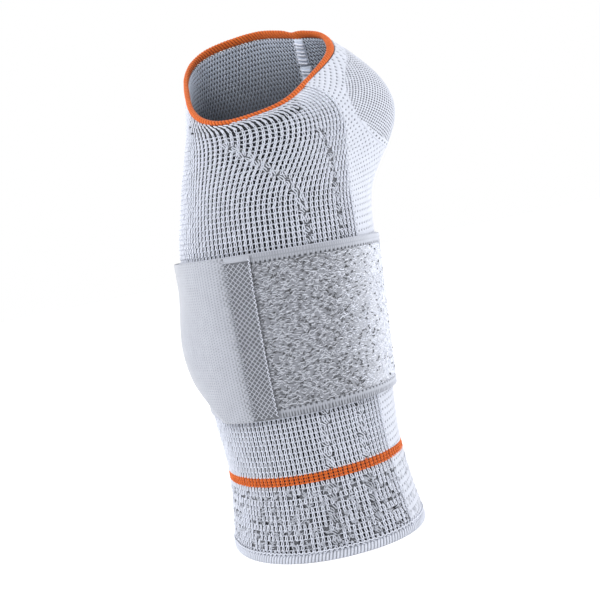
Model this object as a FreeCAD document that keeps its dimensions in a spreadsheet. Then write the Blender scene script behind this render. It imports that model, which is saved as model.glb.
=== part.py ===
import FreeCAD, Part
import math
import os

# Knitted elbow support with a wide forearm strap.
# +Z runs up the forearm, +X is the outer (lateral) side and +Y the back of the elbow.
# The origin is the centre of the lower opening, in the plane of the hem.

OUTLINE_POINTS = 36
SECTION_STEP = 9.0

PIECES = {}
MIDDLES = {}
DOC = FreeCAD.newDocument("elbow_support")
SHEET = DOC.addObject("Spreadsheet::Sheet", "sizes")

# Each cross-section of the worn shape: distance up the sleeve, half sizes and the two leans.
SECTIONS = ("hem", "stripe", "strap_low", "strap_high", "crook", "elbow", "rim")
SECTION_SIZES = {
    "station": (0, 40, 67, 143, 172, 201, 231),
    "half_width": (52, 45, 42, 46, 48, 45, 43),
    "half_depth": (47, 43, 45, 48, 43, 36, 29),
    "lean_front": (0, 0.5, 0, -2, -1.5, 1, 13),
    "lean_side": (0, 0, 0, 0, -0.5, 1, 22),
}

SIZES = {
    # knitted wall and its zones
    "wall": 1.8,
    "hem_height": 4,
    "hem_bead": 0.4,
    "stripe_height": 4.2,
    "rim_height": 2.6,
    "rim_bead": 0.4,
    "fixed_top": 150,
    "upper_strip": 9,
    "body_squareness": 2.15,
    "rim_squareness": 2.8,
    "rim_twist": -18,
    "rim_tilt_front": 4,
    "rim_tilt_side": -7,
    # pocket for the point of the elbow
    "cap_station": 203,
    "cap_bulge": 36,
    "cap_spread_up": 22,
    "cap_spread_round": 20,
    "cap_radius": 27,
    "cap_depth": 60,
    # elbow axis
    "hinge_back": 5,
    "hinge_height": 195,
    # pads inside the sleeve at the two epicondyles
    "pad_thickness": 4,
    "pad_pocket": 0.6,
    "pad_half_height": 15,
    "pad_half_width": 11,
    "pad_height": 186,
    "layer_gap": 0.15,
    # seam inside the sleeve
    "seam_angle": 121,
    "seam_width": 5.5,
    "seam_thickness": 1.0,
    # forearm strap
    "strap_base": 0.8,
    "strap_band": 1.1,
    "selvage": 4.5,
    "band_start": -62,
    "band_sweep": 290,
    "flap_start": -125,
    "flap_sweep": 81.7,
    "flap_edge": 2.75,
    "cover": 0.6,
    "backing": 0.5,
    "backing_start": -118,
    "backing_sweep": 53,
    "hook": 0.35,
    "hook_start": -60,
    "hook_sweep": 16.7,
    "tip_start": -42.9,
    "tip_sweep": 15,
    "tip_hook_sweep": 12,
    "core_start": -118,
    "core_sweep": 48,
    "core_margin": 6,
    "dome_height": 4,
    "dome_station": 100,
    "dome_angle": -97,
    "dome_reach_up": 33,
    "dome_reach_round": 28,
    "anchor_start": 168,
    "anchor_sweep": 5,
    "anchor_thread": 0.5,
    "reach": 90,
}


def fill_sheet():
    """One row per size: its name, its value as text and the alias that expressions use."""
    named = dict(SIZES)
    for kind, values in SECTION_SIZES.items():
        for section, value in zip(SECTIONS, values):
            named[section + "_" + kind] = value
    for row, (name, value) in enumerate(named.items(), start=1):
        SHEET.set("A%d" % row, name)
        SHEET.set("B%d" % row, str(value))
        SHEET.setAlias("B%d" % row, name)
    DOC.recompute()


def size(name):
    return float(SHEET.get(name))


def profile(kind):
    """The stations up the sleeve and the values of one kind of size there."""
    stations = [size(section + "_station") for section in SECTIONS]
    return stations, [size(section + "_" + kind) for section in SECTIONS]


def slopes(stations, values):
    """Slopes of a curve through the values that never overshoots them."""
    steps = [b - a for a, b in zip(stations, stations[1:])]
    rises = [(b - a) / step for a, b, step in zip(values, values[1:], steps)]
    inner = []
    for before, after in zip(rises, rises[1:]):
        inner.append(0.0 if before * after <= 0 else 2 * before * after / (before + after))
    return [rises[0]] + inner + [rises[-1]]


def smooth(curve, at):
    """Value of a smooth curve through (stations, values) at one place."""
    stations, values = curve
    at = min(max(at, stations[0]), stations[-1])
    index = max(i for i in range(len(stations) - 1) if stations[i] <= at)
    step = stations[index + 1] - stations[index]
    part = (at - stations[index]) / step
    tangents = slopes(stations, values)
    start = values[index] * (1 + 2 * part) * (1 - part) ** 2
    end = values[index + 1] * part ** 2 * (3 - 2 * part)
    leave = tangents[index] * step * part * (1 - part) ** 2
    arrive = tangents[index + 1] * step * part ** 2 * (part - 1)
    return start + end + leave + arrive


def heading(station):
    """Direction of the sleeve's middle line."""
    front = math.radians(smooth(LEAN_FRONT, station))
    side = math.radians(smooth(LEAN_SIDE, station))
    along = math.cos(side)
    return FreeCAD.Vector(math.sin(side), -math.sin(front) * along, math.cos(front) * along)


def middle(station, step=1.0):
    """Point on the sleeve's middle line, found by walking up from the hem."""
    point = FreeCAD.Vector(0, 0, 0)
    count = max(1, math.ceil(station / step))
    for index in range(count):
        point += heading((index + 0.5) * station / count) * (station / count)
    return point


def share_above_strap(station):
    """0 at the strap's top edge and 1 at the rim."""
    low = size("strap_high_station")
    return min(max((station - low) / (size("rim_station") - low), 0), 1)


def bulge(station, turn):
    """How far the pocket for the point of the elbow stands out."""
    up = (station - size("cap_station")) / size("cap_spread_up")
    round_by = ((turn - 90 + 180) % 360 - 180) / size("cap_spread_round")
    return size("cap_bulge") * math.exp(-0.5 * (up ** 2 + round_by ** 2))


def signed_power(value, power):
    return math.copysign(abs(value) ** power, value)


def skin_point(station, turn, offset):
    """Point of the worn shape at a station and a turn from +X towards +Y, moved out by offset."""
    share = share_above_strap(station) ** 2
    power = 2 / (size("body_squareness") + (size("rim_squareness") - size("body_squareness")) * share)
    width = (smooth(WIDTH, station) + offset) * signed_power(math.cos(math.radians(turn)), power)
    depth = (smooth(DEPTH, station) + offset) * signed_power(math.sin(math.radians(turn)), power)
    twist = math.radians(size("rim_twist")) * share
    across = width * math.cos(twist) - depth * math.sin(twist)
    back = width * math.sin(twist) + depth * math.cos(twist) + bulge(station, turn)
    shear = math.tan(math.radians(size("rim_tilt_front"))) * back
    shear += math.tan(math.radians(size("rim_tilt_side"))) * across
    front = math.radians(smooth(LEAN_FRONT, station))
    behind = FreeCAD.Vector(0, math.cos(front), math.sin(front))
    up = heading(station)
    return MIDDLES[station] + behind.cross(up) * across + behind * back + up * shear * share


def loop(station, offset_of):
    """Closed smooth outline at one station."""
    if station not in MIDDLES:
        MIDDLES[station] = middle(station)
    turns = [index * 360 / OUTLINE_POINTS for index in range(OUTLINE_POINTS)]
    curve = Part.BSplineCurve()
    points = [skin_point(station, turn, offset_of(station, turn)) for turn in turns]
    curve.interpolate(Points=points, PeriodicFlag=True)
    return Part.Wire([curve.toShape()])


def stations_between(low, high):
    count = max(2, math.ceil((high - low) / SECTION_STEP) + 1)
    return [low + (high - low) * index / (count - 1) for index in range(count)]


def ring(name, low, high, inner, outer):
    """Tube between two stations; inner and outer are offsets, or functions of station and turn."""
    inner_of = inner if callable(inner) else lambda station, turn: inner
    outer_of = outer if callable(outer) else lambda station, turn: outer
    stations = stations_between(low, high)
    solid = Part.makeLoft([loop(at, outer_of) for at in stations], True)
    hollow = Part.makeLoft([loop(at, inner_of) for at in stations], True)
    feature = DOC.addObject("Part::Feature", name)
    feature.Shape = solid.cut(hollow)
    return feature


def sector(name, start, sweep):
    """Slice of a tall cylinder about the forearm's axis, used to cut a length out of a ring."""
    slice_of = DOC.addObject("Part::Cylinder", name)
    slice_of.setExpression("Radius", "sizes.reach")
    slice_of.setExpression("Height", "sizes.rim_station * 2")
    slice_of.setExpression("Angle", "sizes." + sweep)
    turn = FreeCAD.Rotation(FreeCAD.Vector(0, 0, 1), size(start))
    slice_of.Placement = FreeCAD.Placement(FreeCAD.Vector(0, 0, -size("hem_half_width")), turn)
    return slice_of


def keep(label, feature):
    """Names a finished piece."""
    feature.Label = label
    PIECES[label] = feature
    return feature


def common(label, ring_feature, cutter):
    return boolean("Part::Common", label, ring_feature, cutter)


def difference(label, ring_feature, cutter):
    return boolean("Part::Cut", label, ring_feature, cutter)


def boolean(kind, label, base, tool):
    piece = DOC.addObject(kind, label + "_cut")
    piece.Base = base
    piece.Tool = tool
    return keep(label, piece)


def sleeve():
    """The knitted tube: hem, cuff, stripe, forearm, elbow zone, upper arm and rim."""
    wall = -size("wall")
    hem_top = size("hem_height")
    stripe_top = size("stripe_station")
    stripe_low = stripe_top - size("stripe_height")
    rim_low = size("rim_station") - size("rim_height")
    upper_low = rim_low - size("upper_strip")
    hem_bead = size("hem_bead")
    rim_bead = size("rim_bead")
    keep("hem_binding", ring("hem_ring", 0, hem_top, wall - hem_bead, hem_bead))
    keep("lower_cuff", ring("cuff_ring", hem_top, stripe_low, wall, 0))
    keep("accent_band", ring("stripe_ring", stripe_low, stripe_top, wall, 0))
    keep("forearm_sleeve", ring("forearm_ring", stripe_top, size("fixed_top"), wall, 0))
    keep("upper_arm_sleeve", ring("upper_ring", upper_low, rim_low, wall, 0))
    rim = ring("rim_ring", rim_low, size("rim_station"), wall - rim_bead, rim_bead)
    keep("upper_edge_binding", rim)
    elbow_zone(ring("elbow_ring", size("fixed_top"), upper_low, wall, 0))


def elbow_zone(elbow_ring):
    """The stretching zone, with the finer pocket for the point of the elbow set into its back."""
    plug = DOC.addObject("Part::Cylinder", "cap_plug")
    plug.setExpression("Radius", "sizes.cap_radius")
    plug.setExpression("Height", "sizes.cap_depth + sizes.reach")
    backward = FreeCAD.Rotation(FreeCAD.Vector(0, 0, 1), FreeCAD.Vector(0, 1, 0))
    plug.Placement = FreeCAD.Placement(FreeCAD.Vector(0, 0, size("cap_station") - 4), backward)
    common("elbow_cap", elbow_ring, plug)
    difference("elbow_zone", elbow_ring, plug)


def oval_prism(name, side):
    """PartDesign prism with an oval section, pointing out to one side of the elbow."""
    body = DOC.addObject("PartDesign::Body", name)
    sketch = body.newObject("Sketcher::SketchObject", name + "_oval")
    plane = [item for item in body.Origin.OriginFeatures if item.Role == "YZ_Plane"][0]
    sketch.AttachmentSupport = (plane, [""])
    sketch.MapMode = "FlatFace"
    middle_point = FreeCAD.Vector(size("hinge_back"), size("pad_height"), 0)
    upright = Part.Ellipse(
        middle_point + FreeCAD.Vector(0, size("pad_half_height"), 0),
        middle_point + FreeCAD.Vector(size("pad_half_width"), 0, 0),
        middle_point,
    )
    sketch.addGeometry(upright, False)
    pad = body.newObject("PartDesign::Pad", name + "_pad")
    pad.Profile = sketch
    pad.setExpression("Length", "sizes.reach")
    pad.Reversed = side < 0
    body.Tip = pad
    return body


def epicondyle_pads():
    """A gel pad and its fabric pocket inside the sleeve on each side of the elbow."""
    inner = -size("wall") - size("layer_gap")
    deep = inner - size("pad_thickness")
    low = size("pad_height") - size("pad_half_height") * 1.5
    high = size("pad_height") + size("pad_half_height") * 1.5
    gel = ring("gel_ring", low, high, deep, inner)
    skin_top = deep - size("layer_gap")
    skin = ring("pocket_ring", low, high, skin_top - size("pad_pocket"), skin_top)
    for side, word in ((1, "lateral"), (-1, "medial")):
        common(word + "_epicondyle_pad", gel, oval_prism(word + "_gel_oval", side))
        common(word + "_pad_pocket", skin, oval_prism(word + "_pocket_oval", side))


def inner_seam():
    """Flat overlocked seam down the inside of the sleeve, in one length for each zone."""
    outer = -size("wall") - size("layer_gap")
    inner = outer - size("seam_thickness")
    rim_low = size("rim_station") - size("rim_height")
    upper_low = rim_low - size("upper_strip")
    strip = DOC.addObject("Part::Box", "seam_strip")
    strip.setExpression("Length", "sizes.reach")
    strip.setExpression("Width", "sizes.seam_width")
    strip.setExpression("Height", "sizes.rim_station * 2")
    turn = FreeCAD.Rotation(FreeCAD.Vector(0, 0, 1), size("seam_angle"))
    corner = turn.multVec(FreeCAD.Vector(0, -size("seam_width") / 2, -size("hem_half_width")))
    strip.Placement = FreeCAD.Placement(corner, turn)
    lengths = (
        ("inner_seam_forearm", size("hem_height"), size("fixed_top")),
        ("inner_seam_elbow", size("fixed_top"), upper_low),
        ("inner_seam_upper_arm", upper_low, rim_low),
    )
    for label, low, high in lengths:
        common(label, ring(label + "_ring", low, high, inner, outer), strip)


def window(value, reach):
    """Smooth hump: 1 in the middle and 0 from reach onwards."""
    return math.cos(math.pi / 2 * min(abs(value) / reach, 1)) ** 2


def dome(station, turn):
    """Extra height of the strap over the pressure pad."""
    up = window(station - size("dome_station"), size("dome_reach_up"))
    turned = (turn - size("dome_angle") + 180) % 360 - 180
    return size("dome_height") * up * window(turned, size("dome_reach_round"))


def strap_bands():
    """The elastic base all the way round and the loop-faced band with its two woven edges."""
    low = size("strap_low_station")
    high = size("strap_high_station")
    base_in = size("layer_gap")
    base_out = base_in + size("strap_base")
    band_in = base_out + size("layer_gap")
    band_out = band_in + size("strap_band")
    edge = size("selvage")
    keep("strap_base_wrap", ring("base_ring", low, high, base_in, base_out))
    cutter = sector("band_sector", "band_start", "band_sweep")
    band = ring("band_ring", low + edge, high - edge, band_in, band_out)
    common("strap_loop_band", band, cutter)
    common("strap_lower_selvage", ring("low_edge_ring", low, low + edge, band_in, band_out), cutter)
    common("strap_upper_selvage", ring("top_edge_ring", high - edge, high, band_in, band_out), cutter)
    thread_in = band_out + size("layer_gap")
    thread = ring("anchor_ring", low + edge, high - edge, thread_in, thread_in + size("anchor_thread"))
    common("strap_anchor_stitching", thread, sector("anchor_sector", "anchor_start", "anchor_sweep"))


def strap_flap():
    """The free end of the strap over the pressure pad, and its meshed tip."""
    low = size("strap_low_station")
    high = size("strap_high_station")
    edge = size("flap_edge")
    gap = size("layer_gap")
    base_out = gap + size("strap_base")
    backing_in = base_out + gap
    backing_out = backing_in + size("backing")
    cover = size("cover")
    cover_ring = ring(
        "cover_ring", low, high,
        lambda station, turn: edge + dome(station, turn),
        lambda station, turn: edge + cover + dome(station, turn),
    )
    common("strap_flap_cover", cover_ring, sector("flap_sector", "flap_start", "flap_sweep"))
    margin = size("core_margin")
    core_ring = ring(
        "core_ring", low + margin, high - margin, backing_out + gap,
        lambda station, turn: edge - gap + dome(station, turn),
    )
    common("pressure_pad_core", core_ring, sector("core_sector", "core_start", "core_sweep"))
    backing_ring = ring("backing_ring", low, high, backing_in, backing_out)
    common("flap_backing", backing_ring, sector("backing_sector", "backing_start", "backing_sweep"))
    hook_out = edge - gap / 4
    hook_ring = ring("hook_ring", low + margin, high - margin, hook_out - size("hook"), hook_out)
    common("flap_hook_patch", hook_ring, sector("hook_sector", "hook_start", "hook_sweep"))
    common("tip_hook_patch", hook_ring, sector("tip_hook_sector", "tip_start", "tip_hook_sweep"))
    tip_ring = ring("tip_ring", low, high, edge, edge + cover)
    common("strap_tip_mesh", tip_ring, sector("tip_sector", "tip_start", "tip_sweep"))


def check_document():
    """Stops if any object failed or any piece isn't a sound solid."""
    for item in DOC.Objects:
        if "Invalid" in item.State or "Error" in item.State:
            raise RuntimeError("%s failed: %s" % (item.Name, item.State))
    for label, piece in PIECES.items():
        if piece.Shape.isNull() or not piece.Shape.isValid() or not piece.Shape.Solids:
            raise RuntimeError("%s is not a sound solid" % label)


def write_pieces():
    os.makedirs("parts", exist_ok=True)
    for label, piece in PIECES.items():
        piece.Shape.exportStep("parts/%s.step" % label)
        print("%-26s %9.1f mm3  %d solid(s)" % (label, piece.Shape.Volume, len(piece.Shape.Solids)))


fill_sheet()
WIDTH = profile("half_width")
DEPTH = profile("half_depth")
LEAN_FRONT = profile("lean_front")
LEAN_SIDE = profile("lean_side")
sleeve()
epicondyle_pads()
inner_seam()
strap_bands()
strap_flap()
DOC.recompute()
check_document()
write_pieces()
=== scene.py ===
"""Looks of a knitted elbow support with a forearm strap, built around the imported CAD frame.

Units are metres. The sleeve is described by two numbers: up, the distance along its middle line from
the hem, and around, the share of its girth from the front (-Y) through the outer side (+X) to the back.
"""

import math

import bpy
import numpy as np
from mathutils import Matrix, Vector


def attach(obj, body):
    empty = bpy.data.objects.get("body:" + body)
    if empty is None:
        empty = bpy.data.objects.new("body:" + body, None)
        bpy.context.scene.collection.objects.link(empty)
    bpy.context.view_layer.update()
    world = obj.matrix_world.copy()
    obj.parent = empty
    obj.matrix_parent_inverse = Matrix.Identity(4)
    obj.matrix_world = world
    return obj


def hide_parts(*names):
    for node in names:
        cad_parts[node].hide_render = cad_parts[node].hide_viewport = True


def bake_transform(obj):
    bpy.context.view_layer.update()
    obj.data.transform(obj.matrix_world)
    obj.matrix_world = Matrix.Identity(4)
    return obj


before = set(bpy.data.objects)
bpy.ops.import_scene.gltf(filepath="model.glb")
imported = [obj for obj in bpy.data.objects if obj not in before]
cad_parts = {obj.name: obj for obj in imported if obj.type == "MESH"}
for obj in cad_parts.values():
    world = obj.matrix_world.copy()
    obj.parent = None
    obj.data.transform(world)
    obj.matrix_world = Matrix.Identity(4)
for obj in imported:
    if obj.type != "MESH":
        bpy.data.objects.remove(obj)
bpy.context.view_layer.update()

MM = 0.001
TAU = 2 * math.pi

# ---------------------------------------------------------------- shape of the sleeve on the arm, in mm
STATIONS = (0, 40, 67, 143, 172, 201, 231)
HALF_WIDTH = (52, 45, 42, 46, 48, 45, 43)
HALF_DEPTH = (47, 43, 45, 48, 43, 36, 29)
LEAN_FRONT = (0, 0.5, 0, -2, -1.5, 1, 13)
LEAN_SIDE = (0, 0, 0, 0, -0.5, 1, 22)
HEM_TOP, STRIPE_LOW, STRIPE_TOP = 4.0, 35.8, 40.0
STRAP_LOW, STRAP_HIGH, RIM = 67.0, 143.0, 231.0
RIM_LOW, RIM_ROLL = 228.4, 2.3
SPLIT = STRAP_HIGH - 3
# Below a stretch of TIGHT the knit is squeezed; rolls and rows grow there by this power of the stretch.
TIGHT, SQUEEZE_POWER = 0.66, 1.7
CAP_STATION, CAP_BULGE, CAP_UP, CAP_ROUND = 203.0, 36.0, 22.0, 20.0
BODY_SQUARE, RIM_SQUARE = 2.15, 2.8
RIM_TWIST, RIM_TILT_FRONT, RIM_TILT_SIDE = -18.0, 4.0, -7.0
FRONT_TURN = -90.0


def slopes(places, values):
    """Slopes of a curve through the values that never overshoots them."""
    rises = np.diff(values) / np.diff(places)
    inner = [0.0 if a * b <= 0 else 2 * a * b / (a + b) for a, b in zip(rises, rises[1:])]
    return np.array([rises[0], *inner, rises[-1]])


def smooth(values, at, places=STATIONS):
    """Smooth curve through the values at their places."""
    places, values = np.array(places, float), np.array(values, float)
    at = np.clip(at, places[0], places[-1])
    index = np.clip(np.searchsorted(places, at, "right") - 1, 0, len(places) - 2)
    step = places[index + 1] - places[index]
    part = (at - places[index]) / step
    tangents = slopes(places, values)
    curve = values[index] * (1 + 2 * part) * (1 - part) ** 2
    curve = curve + values[index + 1] * part**2 * (3 - 2 * part)
    curve = curve + tangents[index] * step * part * (1 - part) ** 2
    return curve + tangents[index + 1] * step * part**2 * (part - 1)


def signed_power(value, power):
    return np.sign(value) * np.abs(value) ** power


def worn_shape(rows, turns):
    """Points of the shape on the arm, in mm, at each station (rows) and each turn in degrees from +X."""
    front, side = np.radians(smooth(LEAN_FRONT, rows)), np.radians(smooth(LEAN_SIDE, rows))
    along = np.stack([np.sin(side), -np.sin(front) * np.cos(side), np.cos(front) * np.cos(side)], -1)
    middle = np.concatenate([np.zeros((1, 3)), np.cumsum((along[1:] + along[:-1]) / 2, 0)
                             * (rows[1] - rows[0])])
    behind = np.stack([np.zeros_like(front), np.cos(front), np.sin(front)], -1)
    beside = np.cross(behind, along)
    share = (np.clip((rows - STRAP_HIGH) / (RIM - STRAP_HIGH), 0, 1) ** 2)[:, None]
    power = 2 / (BODY_SQUARE + (RIM_SQUARE - BODY_SQUARE) * share)
    angle = np.radians(turns)
    width = smooth(HALF_WIDTH, rows)[:, None] * signed_power(np.cos(angle), power)
    depth = smooth(HALF_DEPTH, rows)[:, None] * signed_power(np.sin(angle), power)
    twist = math.radians(RIM_TWIST) * share
    across = width * np.cos(twist) - depth * np.sin(twist)
    back = width * np.sin(twist) + depth * np.cos(twist)
    up = ((rows - CAP_STATION) / CAP_UP)[:, None]
    off = ((turns - 90 + 180) % 360 - 180) / CAP_ROUND
    back = back + CAP_BULGE * np.exp(-0.5 * (up**2 + off**2))
    shear = math.tan(math.radians(RIM_TILT_FRONT)) * back + math.tan(math.radians(RIM_TILT_SIDE)) * across
    point = middle[:, None] + across[..., None] * beside[:, None] + back[..., None] * behind[:, None]
    return point + (shear * share)[..., None] * along[:, None]


class Skin:
    """Points, outward normals and turns of the shape on the arm, looked up by (up, around)."""

    ROWS, COLUMNS = 463, 720

    def __init__(self):
        rows = np.linspace(0, RIM, self.ROWS)
        fine = np.linspace(FRONT_TURN, FRONT_TURN + 360, 2881)
        shape = worn_shape(rows, np.broadcast_to(fine, (self.ROWS, fine.size)))
        lengths = np.linalg.norm(np.diff(shape, axis=1), axis=2)
        travelled = np.concatenate([np.zeros((self.ROWS, 1)), np.cumsum(lengths, 1)], 1)
        self.girth = travelled[:, -1]
        wanted = np.linspace(0, 1, self.COLUMNS + 1)
        turns = np.stack([np.interp(wanted, t / t[-1], fine) for t in travelled])
        self.turns = turns
        self.points = worn_shape(rows, turns)
        upward = np.gradient(self.points, axis=0)
        self.stretch = np.linalg.norm(upward, axis=2) / (rows[1] - rows[0])
        ring = self.points[:, :-1]
        around = np.roll(ring, -1, 1) - np.roll(ring, 1, 1)
        around = np.concatenate([around, around[:, :1]], 1)
        normals = np.cross(around, upward)
        self.normals = normals / np.linalg.norm(normals, axis=2, keepdims=True)

    def read(self, table, up, around):
        """Reads a table between its nodes."""
        row = np.clip(np.asarray(up, float) / RIM * (self.ROWS - 1), 0, self.ROWS - 1.001)
        column = (np.asarray(around, float) % 1.0) * self.COLUMNS
        r, c = row.astype(int), column.astype(int) % self.COLUMNS
        y, x = (row - r)[..., None], (column - np.floor(column))[..., None]
        low = table[r, c] * (1 - x) + table[r, c + 1] * x
        high = table[r + 1, c] * (1 - x) + table[r + 1, c + 1] * x
        return low * (1 - y) + high * y

    def at(self, up, around, out=0.0):
        """Points in mm, moved out along the normal."""
        up, around = np.broadcast_arrays(up, around)
        base = self.read(self.points, up, around)
        return base + self.read(self.normals, up, around) * np.asarray(out, float)[..., None]

    def shares(self, up, turn):
        """The share of the girth at each station (rows of up) and turn, running on past the front."""
        rows = np.round(up[:, 0] / RIM * (self.ROWS - 1)).astype(int)
        wound = np.floor((turn - FRONT_TURN) / 360)
        flat = turn - wound * 360
        ends = np.linspace(0, 1, self.COLUMNS + 1)
        return np.stack([np.interp(f, self.turns[r], ends) for f, r in zip(flat, rows)]) + wound

    def stretch_at(self, up, around):
        """How far apart two stations lie on the skin, as a share of their distance on the middle line."""
        row = np.clip((np.asarray(up) / RIM * (self.ROWS - 1)).astype(int), 0, self.ROWS - 1)
        column = ((np.asarray(around) % 1.0) * self.COLUMNS).astype(int)
        return self.stretch[row, column]

    def girth_at(self, up):
        return float(np.interp(up, np.linspace(0, RIM, self.ROWS), self.girth))


skin = Skin()


def share_at(up, turn):
    """The share of the girth at one station and turn."""
    return skin.shares(np.full((1, 1), up), np.full((1, 1), turn))[0, 0]


# ---------------------------------------------------------------- mesh helpers
def add_object(name, data):
    piece = bpy.data.objects.new(name, data)
    bpy.context.scene.collection.objects.link(piece)
    return piece


def make_mesh(name, points, faces, material, pit=None):
    """A mesh piece from points in mm and arrays of faces; pit is how dark each point is, 0 to 1: painted
    shade in grooves, holes and recesses, and also dark marks of the cloth.
    """
    faces = [np.asarray(some, np.int32) for some in faces]
    corners = np.concatenate([np.full(len(some), some.shape[1]) for some in faces])
    mesh = bpy.data.meshes.new(name)
    points = np.asarray(points, float).reshape(-1, 3) * MM
    mesh.vertices.add(len(points))
    mesh.vertices.foreach_set("co", points.astype(np.float32).ravel())
    mesh.loops.add(int(corners.sum()))
    mesh.loops.foreach_set("vertex_index", np.concatenate([some.ravel() for some in faces]))
    mesh.polygons.add(len(corners))
    mesh.polygons.foreach_set("loop_start", (np.cumsum(corners) - corners).astype(np.int32))
    mesh.update(calc_edges=True)
    mesh.polygons.foreach_set("use_smooth", np.full(len(corners), True))
    if pit is not None:
        marks = mesh.attributes.new("pit", "FLOAT", "POINT")
        marks.data.foreach_set("value", np.asarray(pit, np.float32).ravel())
    mesh.validate()
    mesh.materials.append(material)
    return add_object(name, mesh)


def settle(piece, body, replaced=(), slot_name=None):
    """Rides a piece on its body, or for the elbow bakes its place into its mesh, and hides the parts it
    stands for.
    """
    if body == "elbow":
        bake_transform(piece)
    else:
        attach(piece, body)
    for node in replaced:
        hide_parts(node)
    return piece


def tubes(paths, radii, sides, closed, sideways):
    """Points and faces of tubes along many paths of the same length, as (count, steps, 3) in mm.
    sideways is a direction at each step that isn't along the path. Open tubes get closed ends."""
    ahead = np.roll(paths, -1, 1) - np.roll(paths, 1, 1) if closed else np.gradient(paths, axis=1)
    ahead /= np.maximum(np.linalg.norm(ahead, axis=2, keepdims=True), 1e-9)
    across = np.cross(ahead, sideways)
    across /= np.maximum(np.linalg.norm(across, axis=2, keepdims=True), 1e-9)
    third = np.cross(ahead, across)
    count, steps = paths.shape[:2]
    radii = np.broadcast_to(radii, (count, steps))
    turn = np.arange(sides) * TAU / sides
    ring = across[:, :, None] * np.cos(turn)[:, None] + third[:, :, None] * np.sin(turn)[:, None]
    points = (paths[:, :, None] + ring * radii[:, :, None, None]).reshape(-1, 3)
    index = np.arange(count * steps * sides).reshape(count, steps, sides)
    spans = steps if closed else steps - 1
    here, there = index[:, :spans], np.roll(index, -1, 1)[:, :spans]
    quads = np.stack([here, np.roll(here, -1, 2), np.roll(there, -1, 2), there], -1).reshape(-1, 4)
    if closed:
        return points, [quads]
    return points, [quads, index[:, 0, ::-1], index[:, -1]]


def joined(parts):
    """Joins (points, list of faces) pairs into one, with the faces sorted by their corners."""
    points, faces, start = [], {}, 0
    for some_points, some_faces in parts:
        points.append(some_points)
        for some in some_faces:
            faces.setdefault(some.shape[1], []).append(some + start)
        start += len(some_points)
    return np.concatenate(points), [np.concatenate(same) for same in faces.values()]


def value_noise(x, y, seed, period=256):
    """Smooth noise from 0 to 1 on a unit lattice; period wraps x."""
    table = np.random.default_rng(seed).random((256, 256))
    xi, yi = np.floor(x).astype(int), np.floor(y).astype(int)
    xf, yf = x - xi, y - yi
    xf, yf = xf * xf * (3 - 2 * xf), yf * yf * (3 - 2 * yf)
    x0, x1 = xi % period % 256, (xi + 1) % period % 256
    low = table[x0, yi % 256] * (1 - xf) + table[x1, yi % 256] * xf
    high = table[x0, (yi + 1) % 256] * (1 - xf) + table[x1, (yi + 1) % 256] * xf
    return low * (1 - yf) + high * yf


def step_up(value, low, high):
    """0 below low, 1 above high, smooth between."""
    part = unit((value - low) / (high - low))
    return part * part * (3 - 2 * part)


def bell(value, reach):
    """1 at 0, falling smoothly to 0 at the reach."""
    return np.cos(np.clip(value / reach, -1, 1) * math.pi / 2) ** 2


def ridge(value, width):
    """1 at 0, falling as a bell curve of that width."""
    return np.exp(-((value / width) ** 2))


def unit(value):
    """The value held between 0 and 1."""
    return np.clip(value, 0, 1)


def beat(way, gap):
    """A wave that repeats after each gap."""
    return np.cos(way * TAU / gap)


def grid(rows, columns):
    """Two arrays that give the row and the column value at each place of a grid."""
    return np.meshgrid(rows, columns, indexing="ij")


def shell_faces(rows, columns, closed):
    """Faces of an outer and an inner grid of one shape, joined along their free edges."""
    index = np.arange(rows * columns).reshape(rows, columns)
    ahead = np.roll(index, -1, 1) if closed else index[:, 1:]
    here = index if closed else index[:, :-1]
    outer = np.stack([here[:-1], ahead[:-1], ahead[1:], here[1:]], -1).reshape(-1, 4)
    back = rows * columns
    walls = [np.stack([here[0] + back, ahead[0] + back, ahead[0], here[0]], -1),
             np.stack([here[-1], ahead[-1], ahead[-1] + back, here[-1] + back], -1)]
    if not closed:
        left, right = index[:, 0], index[:, -1]
        walls.append(np.stack([left[:-1] + back, left[:-1], left[1:], left[1:] + back], -1))
        walls.append(np.stack([right[:-1], right[:-1] + back, right[1:] + back, right[1:]], -1))
    return [np.concatenate([outer, outer[:, ::-1] + back, *walls])]


def layer(name, up, around, top, bottom, closed, material, pit=None):
    """Closed layer of cloth between two faces over one grid of up and around."""
    points = np.concatenate([skin.at(up, around, face).reshape(-1, 3) for face in (top, bottom)])
    shades = None if pit is None else np.concatenate([pit.ravel(), 0 * pit.ravel()])
    return make_mesh(name, points, shell_faces(*up.shape, closed), material, shades)


def slab(name, rides, low, high, start, sweep, inner, outer, material, step, dents=None, rounding=0.6,
         start_at=None, ribbon=False):
    """Closed layer of cloth over the sleeve; rides is what settle needs. inner and outer are its faces, as
    numbers or at (up, turn), dents how far and how dark the outer face is pressed in, and start_at where
    each row starts, if not at start; a ribbon keeps its width there."""
    closed = sweep >= 360
    girth = skin.girth_at((low + high) / 2)
    rows = round((high - low) / step) + 1
    columns = round(sweep / 360 * girth / step) + 1
    part = np.arange(columns) / columns if closed else np.linspace(0, 1, columns)
    up, part = grid(np.linspace(low, high, rows), part)
    first = start_at(up) if start_at else start + 0 * up
    last = first + sweep if ribbon else start + sweep
    turn = first + part * (last - first)
    edge = np.minimum(up - low, high - up)
    if not closed:
        edge = np.minimum(edge, np.minimum(turn - first, last - turn) * (girth / 360))
    full = 0.25 + 0.75 * np.sqrt(1 - (1 - unit(edge / rounding)) ** 2)
    inside, outside = (face(up, turn) if callable(face) else face + 0 * up for face in (inner, outer))
    centre, half = (inside + outside) / 2, (outside - inside) / 2 * full
    press, pit = dents(up, turn, turn * (girth / 360), edge) if dents else (0 * up, 0 * up)
    around = skin.shares(up, turn)
    piece = layer(name, up, around, centre + half - press, centre - half, closed, material, pit)
    return settle(piece, *rides) if rides else piece


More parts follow.
